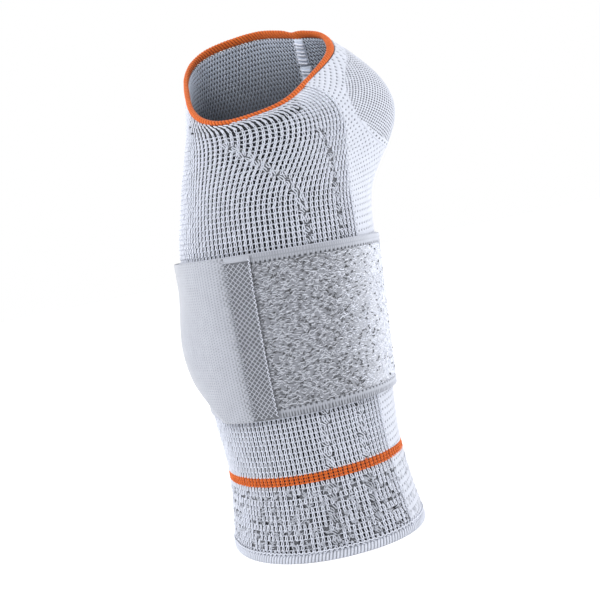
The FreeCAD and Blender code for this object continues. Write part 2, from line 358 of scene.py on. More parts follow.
def oval(name, rides, centre, half, outer, inner, rings, spokes, material, pit=None):
    """Closed oval layer over the sleeve; centre and half are (up, share of girth), outer and inner give
    its faces at (distance from the middle 0 to 1, up, share)."""
    reach = np.concatenate([np.arange(1, rings + 1) / rings, [1.0, 0.7, 0.35]])
    away, angle = grid(reach, np.arange(spokes) * TAU / spokes)
    up = centre[0] + half[0] * away * np.sin(angle)
    around = centre[1] + half[1] * away * np.cos(angle)
    out = outer(away, up, around)
    out[rings:] = inner(away, up, around)[rings:]
    tips = [skin.at(*centre, face(0.0, *centre)).reshape(1, 3) for face in (outer, inner)]
    points = np.concatenate([skin.at(up, around, out).reshape(-1, 3), *tips])
    index = np.arange(away.size).reshape(away.shape)
    ahead = np.roll(index, -1, 1)
    quads = np.stack([index[:-1], index[1:], ahead[1:], ahead[:-1]], -1).reshape(-1, 4)
    top, bottom = np.full(spokes, away.size), np.full(spokes, away.size + 1)
    fans = np.concatenate([np.stack([top, index[0], ahead[0]], -1),
                           np.stack([bottom, ahead[-1], index[-1]], -1)])
    shades = None
    if pit:
        shades = pit(away, up, around)
        shades[rings:] = 0
        shades = np.concatenate([shades.ravel(), [0, 0]])
    return settle(make_mesh(name, points, [quads, fans], material, shades), *rides)


def yarn(up, around, out, radii, sides, closed=False):
    """Tubes that follow the skin, one per row of up, around and out."""
    return tubes(skin.at(up, around, out), radii, sides, closed, skin.read(skin.normals, up, around))


def threads(name, rides, up, around, out, radius, material, sides=4):
    """Short closed lengths of thread over the sleeve, one per row of up, around and out."""
    steps = np.arange(up.shape[1])
    taper = np.minimum(1, 0.35 + np.minimum(steps, steps[::-1]) * 0.65)
    strands = joined([yarn(up, around, out, np.asarray(radius) * taper, sides)])
    return settle(make_mesh(name, *strands, material), *rides)


# ---------------------------------------------------------------- materials
def fabric(name, colour, shade, scale, roughness=0.85, bump=0.25, sheen=0.15, dark=None):
    """Yarn or cloth: fibre noise in colour, roughness and bump, and dark where the mesh marks pits: painted
    shade in grooves, holes and recesses, and dark marks of the cloth.
    """
    material = bpy.data.materials.new(name)
    material.use_nodes = True
    tree = material.node_tree

    def fill(node, **inputs):
        """Sets inputs, by name or as _number, to values or joins them to outputs."""
        for word, value in inputs.items():
            socket = node.inputs[int(word[1:]) if word[0] == "_" else word.replace("_", " ")]
            if isinstance(value, bpy.types.NodeSocket):
                tree.links.new(value, socket)
            else:
                socket.default_value = value
        return node

    def add(kind, **settings):
        node = tree.nodes.new("ShaderNode" + kind)
        for word, value in settings.items():
            setattr(node, word, value)
        return node

    place = add("TexCoord").outputs["Object"]
    fibre = fill(add("TexNoise"), Scale=scale, Detail=3, Vector=place).outputs["Fac"]
    patches = fill(add("TexNoise"), Scale=220, Vector=place).outputs["Fac"]
    most = fill(add("Math", operation="MULTIPLY"), _0=fibre, _1=0.65).outputs[0]
    both = fill(add("Math", operation="MULTIPLY_ADD"), _0=patches, _1=0.35, _2=most).outputs[0]
    ramp = fill(add("ValToRGB"), Fac=both)
    for stop, position, tone in zip(ramp.color_ramp.elements, (0.35, 0.65), (shade, colour)):
        stop.position, stop.color = position, (*tone, 1)
    base = ramp.outputs["Color"]
    if dark:
        marks = add("Attribute", attribute_name="pit").outputs["Fac"]
        base = fill(add("Mix", data_type="RGBA"), Factor=marks, A=base, B=(*dark, 1)).outputs["Result"]
    rough = fill(add("MapRange"), To_Min=roughness - 0.12, To_Max=min(1.0, roughness + 0.12), Value=fibre)
    relief = fill(add("Bump"), Strength=bump, Distance=0.0002, Height=fibre)
    fill(tree.nodes["Principled BSDF"], Base_Color=base, Roughness=rough.outputs["Result"],
         Normal=relief.outputs["Normal"], Sheen_Weight=sheen, Sheen_Roughness=0.5, Specular_IOR_Level=0.2)
    return material


def grey(level, blue=1.12):
    """Cool grey from its linear level."""
    return (level * 0.94, level * 0.985, level * blue)


def greys(name, light, deep, scale, pit=None, **looks):
    """Fabric in greys, from the levels of its light and deep fibres and of its pits, whose dark is painted
    shade or marks of the cloth.
    """
    return fabric(name, grey(light), grey(deep), scale, dark=pit and grey(pit), **looks)


YARN = greys("yarn_grey", 0.62, 0.50, 2500, sheen=0.3)
HEM = greys("hem_thread", 0.60, 0.49, 2500, 0.13)
# Painted shade: near-black sheet behind the stitches, so the gaps between them read as shaded.
GAP_SHADE = fabric("inlay_dark", grey(0.022, 1.3), grey(0.012, 1.3), 1500)
ORANGE = fabric("yarn_orange", (0.64, 0.145, 0.022), (0.48, 0.088, 0.014), 2500, dark=(0.16, 0.022, 0.006))
# Painted shade: dark lining, seen as the shade through the gaps of the mesh inside.
LINING_SHADE = greys("knit_back", 0.12, 0.08, 1600)
# Its dark colour is painted shade deep inside the sleeve.
MESH_BACK = fabric("knit_back_yarn", (0.64, 0.70, 0.82), (0.52, 0.58, 0.69), 2400, dark=(0.05, 0.062, 0.09))
TUCK = greys("yarn_tuck", 0.47, 0.37, 2500)
# Painted shade: dark strands under the tuck patches, for the shade between their yarns.
TUCK_BASE = greys("yarn_tuck_base", 0.14, 0.10, 2500)
FINE = greys("knit_fine", 0.52, 0.43, 2200, 0.02)
BACK = greys("knit_close", 0.50, 0.43, 2200, 0.02)
COVER = greys("strap_cover", 0.35, 0.30, 2200, 0.05, sheen=0.3)
LOOPS = greys("strap_loops", 0.52, 0.40, 2600, sheen=0.8)
# Painted light: paler pile strands for the lit outer side of the band.
LOOPS_PAINTED_LIGHT = greys("strap_loops_painted_light", 0.70, 0.60, 2600, sheen=0.8)
# Painted shade: dark strands standing for the shade between the loops.
LOOP_SHADE = greys("strap_loops_painted_shade", 0.05, 0.03, 2600, sheen=0.3)
# Its pit colour is painted shade, darker away from the lit outer side.
PILE_BASE = greys("strap_ground", 0.54, 0.46, 2400, 0.20, sheen=0.6)
SELVAGE_CLOTH = greys("strap_selvage", 0.52, 0.44, 2500, 0.04)
EDGE = greys("strap_edge", 0.36, 0.29, 2500, 0.04)
WRAP = greys("strap_elastic", 0.44, 0.37, 2200, 0.2)
MESH_GROUND = greys("mesh_ground", 0.13, 0.09, 2400)
MESH_THREAD = greys("mesh_thread", 0.46, 0.36, 3000)
THREAD = greys("thread", 0.78, 0.62, 3000)
HOOK = greys("hook_tape", 0.30, 0.22, 2600, roughness=0.6)
FOAM = fabric("pad_foam", (0.20, 0.21, 0.23), (0.13, 0.135, 0.15), 1800, roughness=0.95)
GEL = fabric("pad_gel", (0.24, 0.30, 0.38), (0.18, 0.24, 0.32), 400, roughness=0.4, bump=0.05, sheen=0.0)


# ---------------------------------------------------------------- knit
WALES, STITCH_STEPS, YARN_SIDES, KNIT_PITCH = 120, 12, 5, 2.4
COURSE_GAP, HOLE_GAP = 3.1, 2.4
RING_WIDTH, RING_DEPTH, LINK_OUT, SINK = 0.47, 0.30, -0.50, 0.45
CAP_MIDDLE = (CAP_STATION, share_at(CAP_STATION, 90.0))
CAP_HALF = (22.0, 0.131)
REAR_HALF, REAR_FADE = 0.155, 0.012
REAR_GIRTH, CAP_GIRTH = 290.0, 300.0


def rear(up, around):
    """1 in the closely knitted back, 0 at the sides and front."""
    off = np.abs((around - CAP_MIDDLE[1] + 0.5) % 1.0 - 0.5)
    return 1 - step_up(off, REAR_HALF - REAR_FADE, REAR_HALF + REAR_FADE)


def wale_drift(up, around):
    """Share of the girth by which the wales lean away from the crease of the elbow, alike on both sides."""
    return 0.042 * step_up(up, 160.0, 206.0) * np.sin(TAU * (CAP_MIDDLE[1] - around))


def clear_of_tucks(up, around):
    """True where no tuck patch takes the place of the stitches."""
    clear = np.full(np.shape(around), True)
    for middle, share, heading in TUCKS:
        if abs(middle - up) < 3.0:
            off = np.abs((around - share + 0.5) % 1.0 - 0.5) * skin.girth_at(up)
            clear &= (off / 1.9) ** 2 + ((middle - up) / 1.7) ** 2 > 1
    return clear


def stitches(low, pitch, size, row, draw, all_round):
    """One knitted row: a teardrop ring of yarn for each wale, as rows of up, around, out and radius.
    Where the fabric is squeezed, every second row is a short one that stops there."""
    middle = (np.arange(WALES) + 0.5) / WALES
    middle = middle + wale_drift(low, middle)
    stretch = skin.stretch_at(np.full(WALES, low), middle)
    tight = stretch < TIGHT
    kept = low < RIM - RIM_ROLL / np.clip(stretch, 0.3, 1.2) ** SQUEEZE_POWER
    kept &= ~(tight & (row % 2 == 1))
    if not all_round:
        kept &= (rear(low, middle) < 0.6) & clear_of_tucks(low, middle)
    middle, tight = middle[kept][:, None], tight[kept][:, None]
    count = len(middle)
    turn = np.arange(STITCH_STEPS) * TAU / STITCH_STEPS
    tall = 0.56 * pitch * (1 + 1.0 * tight) * draw.uniform(0.95, 1.06, (count, 1))
    wide = RING_WIDTH * draw.uniform(0.9, 1.1, (count, 1))
    tilt = draw.normal(0, 0.10, (count, 1))
    beside = wide * np.sin(turn) * (1 - 0.5 * np.cos(turn)) + tilt * tall * np.cos(turn)
    up = low + 0.5 * pitch * tight + tall * np.cos(turn)
    around = middle + wale_drift(up, middle) - wale_drift(low, middle) + beside / skin.girth_at(low)
    out = -RING_DEPTH * np.cos(turn) + draw.normal(0, 0.05, (count, 1))
    thick = size * (1 - 0.22 * tight) * draw.uniform(0.9, 1.1, (count, 1))
    return up, around, out, thick + 0 * up


def links(low, pitch, size, all_round):
    """The yarn behind a row, from wale to wale, as one path, with its radius and whether it is closed."""
    phase = np.arange(WALES * 4) * TAU / 4
    share = phase / (TAU * WALES)
    up = low - 0.62 * pitch + 0.10 * pitch * np.cos(phase)
    out = LINK_OUT - 0.7 * (skin.stretch_at(up, share) < TIGHT)
    if all_round:
        return up, share, out, size, True
    order = np.argsort((share - CAP_MIDDLE[1]) % 1.0)
    order = order[rear(up, share)[order] < 0.6]
    return up[order], share[order], out[order], size, False


def knit(name, low, high, material, body, replaced, slot_name, pitch=KNIT_PITCH, size=0.31, all_round=False):
    """Knitted stitches between two stations, all round the sleeve or up to its closely knitted back."""
    rows = max(1, round((high - low) / pitch))
    pitch = (high - low) / rows
    draw = np.random.default_rng(round(low * 10))
    parts = []
    for row in range(rows):
        middle = low + (row + 0.5) * pitch
        up, around, out, thick = stitches(middle, pitch, size, row, draw, all_round)
        parts.append(yarn(np.clip(up, 0.4, RIM - 0.4), around, out - SINK, thick, YARN_SIDES, True))
        up, around, out, thick, closed = links(middle, pitch, size, all_round)
        parts.append(yarn(np.clip(up, 0.4, RIM - 0.4)[None], around[None], out - SINK, thick, 4, closed))
    return settle(make_mesh(name, *joined(parts), material), body, replaced, slot_name)


def tube_shell(name, low, high, outer, inner, material, body):
    """Closed smooth tube inside the loops."""
    up, around = grid(np.linspace(low, high, round((high - low) / 1.7) + 1), np.arange(480) / 480)
    return settle(layer(name, up, around, outer, inner, True, material), body, (), "knit_grey")


def back_mesh(name, low, high, body, pitch=1.35, waves=150, steps=6):
    """Back of the knit, seen inside the sleeve: crossing rows of yarn that leave a staggered mesh, painted
    darker the deeper it lies below the rim, as shade.
    """
    rows = round((high - low) / pitch)
    phase = np.arange(waves * steps) * TAU / steps
    parts, depth = [], []
    for row in range(rows):
        up = low + (row + 0.5) * (high - low) / rows + 0.53 * pitch * np.cos(phase + math.pi * row)
        around = phase / (TAU * waves)
        out = -1.95 + 0.12 * np.cos(2 * phase)
        parts.append(yarn(up[None], around[None], out, 0.22 * pitch, 4, True))
        # Painted shade: the yarn is darker the deeper it lies inside the sleeve.
        depth.append(np.repeat(step_up(RIM_LOW - up, 0, 27), 4))
    return settle(make_mesh(name, *joined(parts), MESH_BACK, np.concatenate(depth)), body, (), "knit_grey")


# Middle lines of the two tuck ribs beside the elbow crease: stations, and shares of the girth.
FRONT_TUCK = ((145, 160, 172, 185, 198), (0.262, 0.257, 0.240, 0.190, 0.145))
SIDE_TUCK = ((143, 160, 172, 185, 196), (0.325, 0.320, 0.318, 0.311, 0.296))
LOW_FRONT_TUCK = ((8, 40, 53, 66), (0.215, 0.229, 0.235, 0.243))
LOW_SIDE_TUCK = ((8, 40, 53, 66), (0.285, 0.296, 0.303, 0.310))
PATCH_GAP, TUCK_GAP, TUCK_BASES = 5.6, 4.4, 9


def tuck_centres():
    """Middles of the tuck patches and the heading of their yarns: along the ribs, mirrored to the other
    side, and over the cuff, where they head anywhere."""
    draw = np.random.default_rng(11)
    centres = []
    for stations, places in (FRONT_TUCK, SIDE_TUCK, LOW_FRONT_TUCK, LOW_SIDE_TUCK):
        fine = np.linspace(stations[0], stations[-1], 60)
        shares = smooth(places, fine, stations)
        steps = np.hypot(np.diff(fine), np.diff(shares) * skin.girth_at(170))
        travelled = np.concatenate([[0], np.cumsum(steps)])
        count = round(travelled[-1] / TUCK_GAP)
        for k, way in enumerate(np.linspace(0, travelled[-1], count)):
            up, share = np.interp(way, travelled, fine), np.interp(way, travelled, shares)
            heading = 2.2 if k % 2 else 1.9
            centres.append((up, share, heading))
            centres.append((up, 2 * CAP_MIDDLE[1] - share, math.pi - heading))
    rows = int((STRIPE_LOW - HEM_TOP - 6) / PATCH_GAP)
    for row in range(rows + 1):
        for column in range(46):
            share = (column + 0.5 * (row % 2)) / 46 + draw.normal(0, 0.0015)
            up = HEM_TOP + 4.5 + row * PATCH_GAP + draw.normal(0, 0.4)
            if draw.random() < 0.86:
                centres.append((up, share, None))
    return [c for c in centres if not STRIPE_LOW - 1.5 < c[0] < STRIPE_TOP + 1.5]


TUCKS = tuck_centres()


def build_tucks():
    """Tuck patches: yarns that lie side by side over the stitches, or tangled between them on the cuff."""
    draw = np.random.default_rng(12)
    groups = {name + "_tucks" + part: [] for name in ("cuff", "forearm", "elbow") for part in ("", "_base")}
    part = np.linspace(-1, 1, 7)
    for up, share, heading in TUCKS:
        name = "cuff_tucks" if up < STRIPE_TOP else "forearm_tucks" if up < STRAP_HIGH - 5 else "elbow_tucks"
        count = 4 if heading else 6
        for k in range(count + TUCK_BASES):
            if k >= count:
                along, bend, length = (heading or 1.9) + math.pi / 2 + draw.normal(0, 0.1), 0.0, 2.4
                shift = (k - count - (TUCK_BASES - 1) / 2) * 0.58
                start = (shift * math.cos(along), -shift * math.sin(along))
                out = -0.95 + draw.normal(0, 0.06) - 0.15 * part**2
            elif heading:
                shift = (k - (count - 1) / 2) * 1.12
                along = heading + 0.16 * (k - (count - 1) / 2) + draw.normal(0, 0.12)
                bend = draw.normal(0, 0.3)
                length = draw.uniform(1.5, 2.1)
                start = (shift * math.cos(heading), -shift * math.sin(heading))
                out = draw.uniform(-0.15, 0.2) - 0.8 * np.abs(part) ** 3
            else:
                along, bend = draw.uniform(0, TAU), draw.normal(0, 1.2)
                length = draw.uniform(1.2, 2.2)
                start = draw.normal(0, 0.8, 2)
                out = draw.uniform(-0.6, 0.0) - 0.5 * part**4
            course_up = up + start[0] + length * part * np.sin(along + bend * part)
            beside = start[1] + length * part * np.cos(along + bend * part)
            layer = name + "_base" if k >= count else name
            groups[layer].append((course_up, share + beside / skin.girth_at(up), out))
    for name, lines in groups.items():
        up, around, out = (np.array([line[k] for line in lines]) for k in range(3))
        body = "elbow" if name.startswith("elbow") else "forearm"
        base = name.endswith("_base")
        # Base strands take the dark yarn, painted shade between the patch yarns.
        cloth = TUCK_BASE if base else TUCK if name.startswith("cuff") else YARN
        threads(name, (body, (), "knit_grey"), up, around, out, 0.36 if base else 0.28, cloth)


def build_rear():
    """Closely knitted back of the sleeve: rounded courses with rows of small holes, pressed in and painted
    dark as shade.
    """
    parts = (("cuff_back", HEM_TOP - 0.5, STRIPE_LOW + 0.3, "forearm", "lower_cuff", "cuff_knit"),
             ("forearm_back", STRIPE_TOP - 0.3, STRAP_LOW + 4, "forearm", "forearm_sleeve", "knit_grey"),
             ("elbow_back_low", SPLIT, 184.0, "elbow", "elbow_zone", "knit_grey"),
             ("elbow_back_high", 184.0, RIM_LOW - 0.2, "elbow", "upper_arm_sleeve", "knit_grey"))
    for name, low, high, body, node, slot_name in parts:
        rows = round((high - low) / 0.42) + 1
        up, share = grid(np.linspace(low, high, rows), np.linspace(-1, 1, 300))
        share = share * (REAR_HALF + 0.002)
        beside = np.abs(share) * REAR_GIRTH
        course = (up + (0.08 + 0.55 * step_up(up, 150, 215)) * beside) / COURSE_GAP
        hole = np.cos(np.pi * course) ** 8 * np.cos(np.pi * (beside / HOLE_GAP + 0.5 * np.round(course))) ** 6
        pit = unit(2.2 * hole - 0.5)
        if node == "lower_cuff":
            shifted = beside + 3.2 * (up // PATCH_GAP % 2)
            blob = bell((up % PATCH_GAP) - PATCH_GAP / 2, 1.9) * bell(shifted % 6.4 - 3.2, 1.9)
            pit = np.maximum(pit, 0.35 * blob)
        edge = (REAR_HALF + 0.002 - np.abs(share)) * REAR_GIRTH
        drop = 0.5 * (1 - step_up(edge, 0.0, 1.2))
        under_cap = 0.6 * (np.hypot((up - CAP_MIDDLE[0]) / CAP_HALF[0], share / CAP_HALF[1]) < 0.97)
        out = -0.10 - 0.04 * np.cos(TAU * course) - 0.35 * pit - drop - under_cap
        settle(layer(name, up, CAP_MIDDLE[1] + share, out, -1.05, False, BACK, pit), body, [node], slot_name)


def build_cap():
    """Cap over the point of the elbow: finer knit with a smooth border."""
    pitch = 1.7

    # Small holes of the fine knit, and a row of them at the border, pressed in and painted dark as shade.
    def dots(away, up, around):
        beside = (around - CAP_MIDDLE[1]) * CAP_GIRTH
        tall = (up - CAP_MIDDLE[0]) * 1.5
        a, b = (tall * 0.8 + beside * 0.6) * TAU / pitch, (tall * 0.6 - beside * 0.8) * TAU / pitch
        fine = unit(np.cos(a / 2) ** 2 * np.cos(b / 2) ** 2 * 2.8 - 0.6)
        fine = fine * (away < 0.97 - 0.09 * step_up(CAP_MIDDLE[0] - up, 4, 14))
        angle = np.arctan2(up - CAP_MIDDLE[0], beside / 1.8)
        row = unit(np.cos(angle * 60) * 1.6 - 0.5) * step_up(-np.sin(angle), 0.35, 0.8)
        return np.maximum(fine, row * (np.abs(away - 0.93) < 0.014))

    def outer(away, up, around):
        border = 0.2 * ridge(away - 0.93, 0.05) * step_up(CAP_MIDDLE[0] - up, 4, 14)
        edge = 0.9 * step_up(away, 0.97, 1.0)
        return 0.05 + border - edge - 0.38 * dots(away, up, around)

    oval("elbow_cap_knit", ("elbow", ["elbow_cap"], "knit_fine"), CAP_MIDDLE, CAP_HALF, outer,
         lambda away, up, around: -0.9 + 0 * up, 120, 380, FINE, dots)


def build_sleeve():
    """Stitches of the sleeve, a near-black sheet of painted shade behind them for the gaps, a lining painted
    dark as shade, and the mesh seen inside.
    """
    knit("cuff_knit_low", HEM_TOP, 20.0, YARN, "forearm", ["lower_cuff"], "cuff_knit")
    knit("cuff_knit_high", 20.0, STRIPE_LOW, YARN, "forearm", ["lower_cuff"], "cuff_knit")
    knit("stripe_knit", STRIPE_LOW, STRIPE_TOP, ORANGE, "forearm", ["accent_band"], "accent_orange",
         1.4, 0.34, True)
    knit("forearm_knit", STRIPE_TOP, 55.0, YARN, "forearm", ["forearm_sleeve"], "knit_grey")
    knit("forearm_knit_high", 55.0, STRAP_LOW + 4, YARN, "forearm", ["forearm_sleeve"], "knit_grey")
    marks = np.linspace(SPLIT, RIM_LOW + 0.4, 5)
    for k, node in enumerate(("elbow_zone", "elbow_zone", "elbow_zone", "upper_arm_sleeve")):
        knit("elbow_knit_%d" % k, marks[k], marks[k + 1], YARN, "elbow", [node], "knit_grey")
    ends = (("low", 0.5, SPLIT, "forearm"), ("top", SPLIT, RIM_LOW, "elbow"))
    for word, low, high, body in ends:
        # A near-black sheet of painted shade behind the stitches.
        tube_shell("inlay_" + word, low, high, -1.35, -1.5, GAP_SHADE, body)
    # The lining is painted dark, as the shade seen through the mesh inside.
    low, top = (tube_shell("inside_" + word, low, high, -1.55, -1.8, LINING_SHADE, body)
                for word, low, high, body in ends)
    back_mesh("inside_mesh_cuff", 4, 36, "forearm")
    back_mesh("inside_mesh_forearm", 36, 98, "forearm", 2.2, 110, 4)
    back_mesh("inside_mesh_strap", 98, SPLIT, "forearm", 2.2, 110, 4)
    back_mesh("inside_mesh_low", SPLIT, 160, "elbow", 2.2, 110, 4)
    back_mesh("inside_mesh_elbow", 160, 194.5, "elbow")
    back_mesh("inside_mesh_rim", 194.5, RIM_LOW, "elbow")


# ---------------------------------------------------------------- edges and seam
SEAM_TURN, SEAM_WIDTH, SEAM_GIRTH = 121.0, 5.5, skin.girth_at(190)


def edge_roll(name, rides, up, height, ribs, material, skew, notch=0.0):
    """Overlocked edge: a flattened roll round the opening, made of thread wraps side by side."""
    steps, sides = ribs * 8, 16
    around = np.arange(steps) / steps
    turn = np.arange(sides) * TAU / sides
    rib = np.abs(np.sin(np.pi * ribs * around)) ** 0.6
    wander = 0.10 * (value_noise(around * ribs * 0.7, 0 * around, 9, round(ribs * 0.7)) - 0.5)
    swell = (1 - 0.5 * (1 - rib) + wander)[:, None] + 0.0 * turn
    squeezed = skin.stretch_at(np.full(steps, up), around)[:, None]
    level = up + height / 2 * signed_power(np.sin(turn), 0.8) * (0.7 + 0.3 * swell)
    edge = RIM if up > RIM / 2 else 0.0
    level = edge + (level - edge) / np.clip(squeezed, 0.3, 1.0) ** SQUEEZE_POWER
    seam = share_at(up, SEAM_TURN)
    level -= notch * ridge(around - seam, 0.012)[:, None]
    out = -0.9 + 1.3 * signed_power(np.cos(turn), 0.8) * swell
    inside = np.clip(level, 0.0, RIM)
    points = skin.at(inside, around[:, None] + skew * np.sin(turn) / ribs, out)
    points[..., 2] += level - inside
    index = np.arange(steps * sides).reshape(steps, sides)
    ahead = np.roll(index, -1, 0)
    quads = np.stack([index, ahead, np.roll(ahead, -1, 1), np.roll(index, -1, 1)], -1).reshape(-1, 4)
    # Painted shade in the grooves between the thread wraps.
    pit = np.broadcast_to(0.9 * (1 - rib)[:, None], (steps, sides))
    return settle(make_mesh(name, points, [quads], material, pit), *rides)


def build_edges():
    """Orange binding round the rim, grey hem, and a row of chain stitches over the hem."""
    edge_roll("rim_binding", ("elbow", ["upper_edge_binding"], "accent_orange"), RIM - 1.3, 2.6, 150, ORANGE,
              0.7, 0.7)
    edge_roll("hem_edge", ("forearm", ["hem_binding"], "binding_grey"), HEM_TOP / 2, HEM_TOP, 190, HEM, 0.35)
    loops = 130
    phase = np.arange(loops * 8) * TAU / 8
    up = HEM_TOP + 0.8 + 0.45 * np.sin(phase)
    around = (phase + 0.9 * np.sin(2 * phase)) / (TAU * loops)
    chain = yarn(up[None], around[None], 0.15 + 0.18 * np.cos(2 * phase), 0.32, 5, True)
    settle(make_mesh("hem_chain", *chain, YARN), "forearm", (), "binding_grey")


def seam_turn(up):
    """The seam drifts a little back below the rim, as the fabric is twisted there."""
    return SEAM_TURN + 5.0 * bell(up - 206.0, 24.0) - 2.5 * step_up(up, 221.0, 229.0)


def build_seam():
    """Flat ladder seam inside the sleeve: a strip, paired rungs over it and a chain line beside."""
    lengths = (("forearm", HEM_TOP + 0.5, SPLIT, "forearm"), ("elbow", SPLIT, 219.0, "elbow"),
               ("upper_arm", 219.0, RIM_LOW, "elbow"))
    width_turn = SEAM_WIDTH / SEAM_GIRTH * 360
    for word, low, high, body in lengths:
        slab("seam_strip_" + word, (body, ["inner_seam_" + word], "seam_thread"), low, high, SEAM_TURN,
             width_turn, -2.8, -2.2, MESH_BACK, 0.9, start_at=lambda up: seam_turn(up) - width_turn / 2,
             ribbon=True)
        pairs = int((high - low) / 2.7)
        middles = low + 1.0 + (np.arange(pairs)[:, None] * 2.7 + np.array([0, 1.15])).ravel()
        middles = middles[middles < high - 0.5]
        part = np.linspace(-1, 1, 9)
        up = middles[:, None] + 0.35 * part + 0.15 * np.sin(middles * 7)[:, None]
        around = skin.shares(up, seam_turn(up)) + part * SEAM_WIDTH / 2 / SEAM_GIRTH
        out = -2.95 - 0.35 * (1 - part**4)
        threads("seam_rungs_" + word, (body, (), "seam_thread"), up, around, out, 0.58, THREAD, 6)
        phase = np.arange(int((high - low) / 1.6) * 8) / 8
        up = (low + 0.4 + phase * 1.6)[None]
        up = up[:, up[0] < high - 0.3]
        sway = 0.45 * np.sin(TAU * np.arange(up.shape[1]) / 8)
        around = skin.shares(up.T, seam_turn(up.T)).T + (3.6 + sway) / SEAM_GIRTH
        threads("seam_chain_" + word, (body, (), "seam_thread"), up, around, -2.35, 0.26, THREAD, 5)


def build_pads():
    """Gel pad and fabric pocket inside each side of the elbow."""
    for word, turn in (("lateral", 7.0), ("medial", 173.0)):
        centre = (186.0, share_at(186.0, turn))
        half = (15.0, 11.0 / skin.girth_at(186))
        gel = oval(word + "_gel", ("elbow", [word + "_epicondyle_pad"], "gel"), centre, half,
                   lambda away, up, around: -2.35 - 0.5 * away**6,
                   lambda away, up, around: -2.6 - 3.4 * (1 - away**4), 18, 60, GEL)
        wide = (half[0] + 1.2, half[1] * 1.1)
        oval(word + "_pocket", ("elbow", [word + "_pad_pocket"], "pocket_fabric"), centre, wide,
             lambda away, up, around: -2.3 - 3.9 * (1 - away**5),
             lambda away, up, around: -2.7 - 4.0 * (1 - away**5), 30, 90, WRAP)
        angle = np.linspace(0, TAU, 61)[:-1, None] + np.linspace(0, 0.075, 5)
        up = centre[0] + wide[0] * 0.93 * np.sin(angle)
        around = centre[1] + wide[1] * 0.93 * np.cos(angle)
        out = -3.9 - 0.12 * np.sin(np.linspace(0, math.pi, 5))
        threads(word + "_pocket_stitches", ("elbow", (), "pocket_fabric"), up, around, out, 0.2, THREAD)


# ---------------------------------------------------------------- strap
BASE_IN, BASE_OUT, BAND_IN, BAND_OUT = 0.15, 0.95, 1.0, 2.0
HOOK_IN, FLAP_IN, COVER_THICK = 2.3, 2.75, 0.6
SELVAGE, STRAP_MIDDLE = 4.5, 105.0
STRAP_GIRTH = skin.girth_at(STRAP_MIDDLE)
PILE_GAP, PILE_ROW = 2.1, 0.66
TAPE_LOW, TAPE_HIGH = STRAP_LOW + 1, STRAP_HIGH - 1
BAND_START, BAND_SWEEP = -62.0, 290.0
FLAP_START, FLAP_SWEEP = -125.0, 81.7
TIP_START, TIP_SWEEP = -43.1, 15.2
DOME_HEIGHT, DOME_STATION, DOME_TURN, DOME_UP, DOME_ROUND = 4.0, 100.0, -97.0, 33.0, 28.0


def dome(up, turn):
    """How far the pressure pad lifts the flap."""
    lift = DOME_HEIGHT * bell(up - DOME_STATION, DOME_UP) * bell(turn - DOME_TURN, DOME_ROUND)
    return lift * step_up(turn - flap_left(up), 0.0, 8.0)


def build_wrap():
    """Elastic wrap under the strap."""
    def ribbing(up, turn, along, edge):
        # Rib grooves pressed in, with painted shade in them.
        rib = 0.5 - 0.5 * beat(along, 1.5)
        return 0.10 * rib, 0.5 * rib * (edge > 0.8)

    wrap = slab("strap_wrap", ("forearm", ["strap_base_wrap"], "strap_elastic"), STRAP_LOW + 1.8,
                STRAP_HIGH + 0.3, -90, 360, BASE_IN, BASE_OUT, WRAP, 0.75, ribbing)


def painted_side_light(along):
    """How strongly light is painted onto the pile, as if lit from the right: most on the outer side of the
    arm, along the band in mm.
    """
    return 0.9 * bell(along - 98.0, 44.0)


